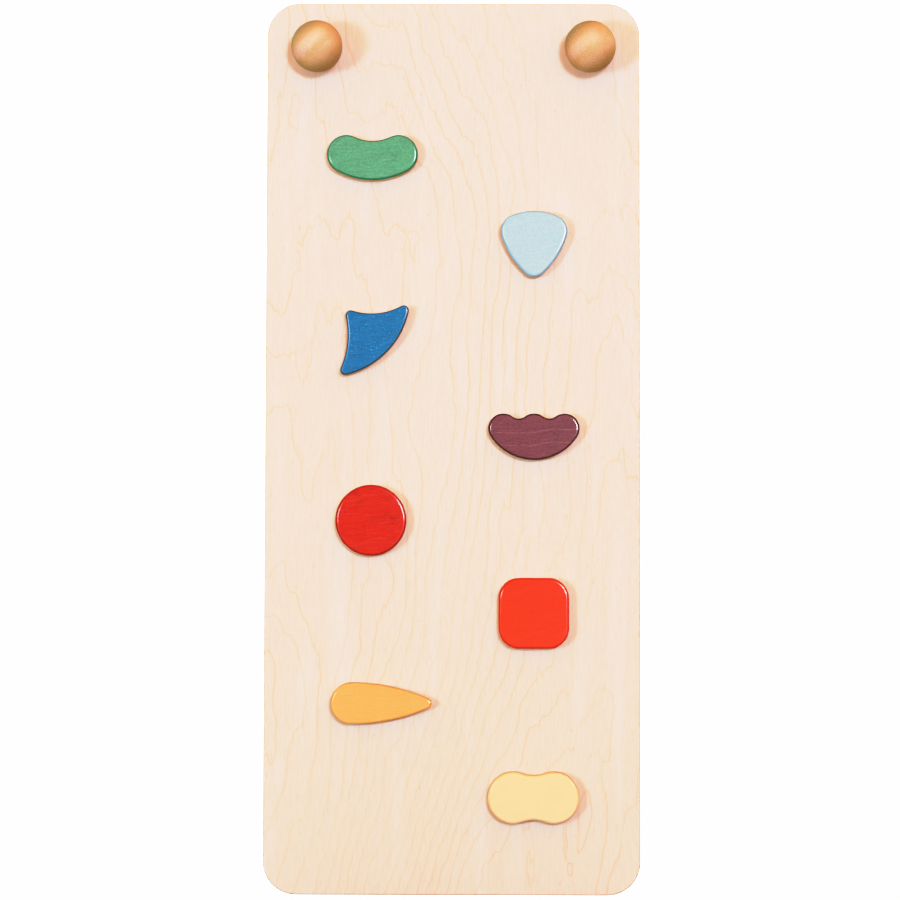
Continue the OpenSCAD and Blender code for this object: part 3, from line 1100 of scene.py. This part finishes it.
@dataclass(frozen=True)
class Studio:
    """A pale floor, a white surround, the camera and its film.

    Attributes:
        fill: Linear colour and strength of the light from all round.
        glossy_fill: Share of it that shows in reflections.
        white: Strength of the white that the camera sees in place of the world and the floor.
        floor_tint: What the floor gives back to the object.
        floor_half: Half the floor's side.
        lens: The camera's focal length in millimetres.
        sensor: The width of its sensor in millimetres.
        stand: Where the camera stands.
        pitch: How far it looks up, in degrees.
        yaw: How far it looks to its left, in degrees.
        roll: How far it leans, in degrees.
    """

    fill: Triple = (1.42, 0.68, 0.03)
    glossy_fill: float = 0.06
    white: float = 6.0
    floor_tint: Triple = (0.3, 0.25, 0.14)
    floor_half: float = 12.0
    lens: float = 85.0
    sensor: float = 36.0
    stand: Triple = (0.0081, -2.55, 0.4204)
    pitch: float = 2.457
    yaw: float = 0.252
    roll: float = 0.150

    def _surround(self) -> None:
        """Makes the world white to the eye and an even warm fill to the object."""
        world = bpy.data.worlds.new("studio")
        world.use_nodes = True
        net = Net(world.node_tree)
        path = net.add("ShaderNodeLightPath")
        seen = path.outputs["Is Camera Ray"]
        mirrored = Amount(net, path.outputs["Is Glossy Ray"])
        strength = 1 - mirrored * (1 - self.glossy_fill)
        fill = net.add("ShaderNodeBackground", None, {"Color": self.fill, "Strength": strength})
        white = net.add("ShaderNodeBackground", None, {"Color": (1, 1, 1), "Strength": self.white})
        feeds = {"Fac": seen, "Shader": fill.outputs[0], "Shader_001": white.outputs[0]}
        both = net.add("ShaderNodeMixShader", None, feeds)
        net.add("ShaderNodeOutputWorld", None, {"Surface": both.outputs[0]})
        bpy.context.scene.world = world

    def _floor(self) -> None:
        """Lays the floor."""
        sheet = bmesh.new()
        bmesh.ops.create_grid(sheet, x_segments=1, y_segments=1, size=self.floor_half)
        mesh = bpy.data.meshes.new("studio_floor")
        sheet.to_mesh(mesh)
        sheet.free()
        made = bpy.data.objects.new("studio_floor", mesh)
        bpy.context.scene.collection.objects.link(made)
        paper = bpy.data.materials.new("floor_paper")
        paper.use_nodes = True
        net = Net(paper.node_tree)
        spot = Spot(net, net.add("ShaderNodeTexCoord").outputs["Object"])
        tone = 0.97 + spot.scaled(3, 3, 3).noise(2.0) * 0.04
        colour = Tint(net, self.floor_tint).shade(tone)
        matt = net.add("ShaderNodeBsdfDiffuse", None, {"Color": colour})
        seen = net.add("ShaderNodeLightPath").outputs["Is Camera Ray"]
        glow = net.add("ShaderNodeEmission", None, {"Color": (1, 1, 1), "Strength": self.white})
        feeds = {"Fac": seen, "Shader": matt.outputs[0], "Shader_001": glow.outputs[0]}
        both = net.add("ShaderNodeMixShader", None, feeds)
        net.add("ShaderNodeOutputMaterial", None, {"Surface": both.outputs[0]})
        mesh.materials.append(paper)

    def _camera(self) -> None:
        """Sets up the camera."""
        data = bpy.data.cameras.new("camera")
        data.lens = self.lens
        data.sensor_width = self.sensor
        made = bpy.data.objects.new("camera", data)
        made.location = self.stand
        level = Euler((math.radians(90 + self.pitch), 0, math.radians(self.yaw))).to_matrix()
        lean = Matrix.Rotation(math.radians(self.roll), 3, "Z")
        made.rotation_euler = (level @ lean).to_euler()
        bpy.context.scene.collection.objects.link(made)
        bpy.context.scene.camera = made

    def _film(self) -> None:
        """Gives the picture the contrast of film."""
        settings = bpy.context.scene.view_settings
        settings.view_transform = "Standard"
        settings.use_curve_mapping = True
        mapping = settings.curve_mapping
        brightest = FILM[-1][0]
        mapping.white_level = (brightest, brightest, brightest)
        curve = mapping.curves[COMBINED_CURVE]
        while len(curve.points) < len(FILM):
            curve.points.new(0.5, 0.5)
        for point, (scene_level, film_level) in zip(curve.points, FILM):
            point.location = (scene_level / brightest, film_level)
        mapping.update()

    def build(self) -> None:
        """Sets up the whole studio."""
        self._surround()
        self._floor()
        for light in LIGHTS:
            light.build()
        self._camera()
        self._film()


# ----------------------------------------------------------------------------------------------------
# This board's own pieces and lights
# ----------------------------------------------------------------------------------------------------

ZINC = Metal("zinc_plated_steel", (0.62, 0.62, 0.60), (0.36, 0.35, 0.32))
BRASS = Metal("insert_brass", (0.70, 0.50, 0.20), (0.42, 0.28, 0.12), 0.34)

# The pale stripe listed for each ball is a painted highlight.
BALLS = [
    Ball(Place.FRONT_LEFT, {
        "turn": (0, 35, 90),
        "pith": (-0.050, 0.012),
        "ring": 4.6 * MM,
        "rings": 0.12,
        "painted_highlight": 0.8,
    }),
    Ball(Place.FRONT_RIGHT, {
        "pith": (0.0030, -0.0018),
        "ring": 2.7 * MM,
        "rings": 0.4,
        "painted_highlight": 0.5,
        "tone": 1.05,
    }),
    Ball(Place.REAR_LEFT, {"turn": (10, -30, 80), "pith": (0.040, -0.020), "ring": 3.8 * MM}),
    Ball(Place.REAR_RIGHT, {"turn": (0, 35, 70), "pith": (0.050, 0.010), "ring": 4.0 * MM, "tone": 0.98}),
]

# The rim colour listed for each grip is painted shade on its rounded front edge.
GRIPS = [
    Grip("green_bean", "green_stain", {
        "stain": (0.102, 0.39, 0.208),
        "below": (0.34, 0.62, 0.46),
        "rim": (0.012, 0.17, 0.07),
        "streaks": 0.4,
        "pale_streaks": 0.45,
        "cloud": 0.4,
        "mottle": 1.3,
    }),
    Grip("light_blue_triangle", "light_blue_stain", {
        "stain": (0.395, 0.58, 0.635),
        "rim": (0.24, 0.46, 0.62),
        "drink": 0.85,
        "show": 0.4,
        "streaks": 0.2,
        "pale_streaks": 0.25,
        "mottle": 0.6,
        "varnish": 0.6,
    }),
    Grip("blue_fin", "blue_stain", {
        "stain": (0.0, 0.165, 0.40),
        "below": (0.08, 0.75, 0.95),
        "rim": (0.0, 0.015, 0.045),
        "show": 0.4,
        "pale_streaks": 0.1,
        "cloud": 0.35,
        "specks": 1.0,
        "mottle": 0.8,
    }, 3 * MM),
    Grip("purple_cloud", "purple_stain", {
        "stain": (0.206, 0.048, 0.068),
        "below": (0.80, 0.30, 0.36),
        "rim": (0.03, 0.008, 0.01),
        "show": 0.25,
        "streaks": 0.5,
        "pale_streaks": 0.25,
        "veins": (4 * MM, -11 * MM),
        "mottle": 1.5,
    }),
    Grip("red_disc", "red_stain", {
        "stain": (0.63, 0.007, 0.001),
        "rim": (0.34, 0.006, 0.0),
        "drink": 0.5,
        "show": 0.05,
        "streaks": 0.35,
        "cloud": 0.6,
        "mottle": 1.2,
    }),
    Grip("orange_red_square", "orange_red_stain", {
        "stain": (0.98, 0.025, 0.0),
        "rim": (0.60, 0.012, 0.0),
        "drink": 0.8,
        "show": 0.04,
        "streaks": 0.3,
        "pale_streaks": 0.3,
        "cloud": 0.2,
        "mottle": 0.7,
    }),
    Grip("orange_drop", "orange_stain", {
        "stain": (0.98, 0.425, 0.098),
        "rim": (0.72, 0.36, 0.07),
        "drink": 0.88,
        "show": 0.2,
        "streaks": 0.3,
        "pale_streaks": 0.3,
        "cloud": 0.15,
        "mottle": 0.2,
    }, 3 * MM),
    Grip("yellow_peanut", "yellow_stain", {
        "stain": (0.98, 0.62, 0.35),
        "rim": (0.78, 0.55, 0.25),
        "drink": 0.88,
        "streaks": 0.3,
        "pale_streaks": 0.3,
        "cloud": 0.15,
        "mottle": 0.2,
        "varnish": 0.3,
    }),
]

LIGHTS = [
    Softbox("key_light", (-2.3, -2.9, 0.35), 0.6, 56, (0.46, 0.90, 1.26), Work.MATT),
    Softbox("main_light", (0.8, -4.0, 1.2), 0.6, 142, (0.46, 0.615, 0.99), Work.MATT),
    Softbox("left_sheen", (-2.2, -3.2, 0.9), 1.0, 85, (0.85, 0.94, 1.0), Work.SHEEN),
    Softbox("right_sheen", (2.1, -3.3, 1.3), 1.6, 340, (0.85, 0.94, 1.0), Work.SHEEN),
    Softbox("rear_right_light", (2.6, 1.8, 2.2), 0.9, 115, (0.32, 0.80, 1.12), Work.MATT),
    Softbox("rear_left_light", (-2.5, 2.0, 2.4), 0.9, 115, (0.32, 0.80, 1.12), Work.MATT),
]


def main() -> None:
    """Builds and dresses every piece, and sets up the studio."""
    logging.basicConfig(level=logging.INFO, format="%(name)s: %(message)s")
    Board().dress()
    for ball in BALLS:
        ball.dress()
    for grip in GRIPS:
        grip.dress()
    Studio().build()


if __name__ == "__main__":
    main()
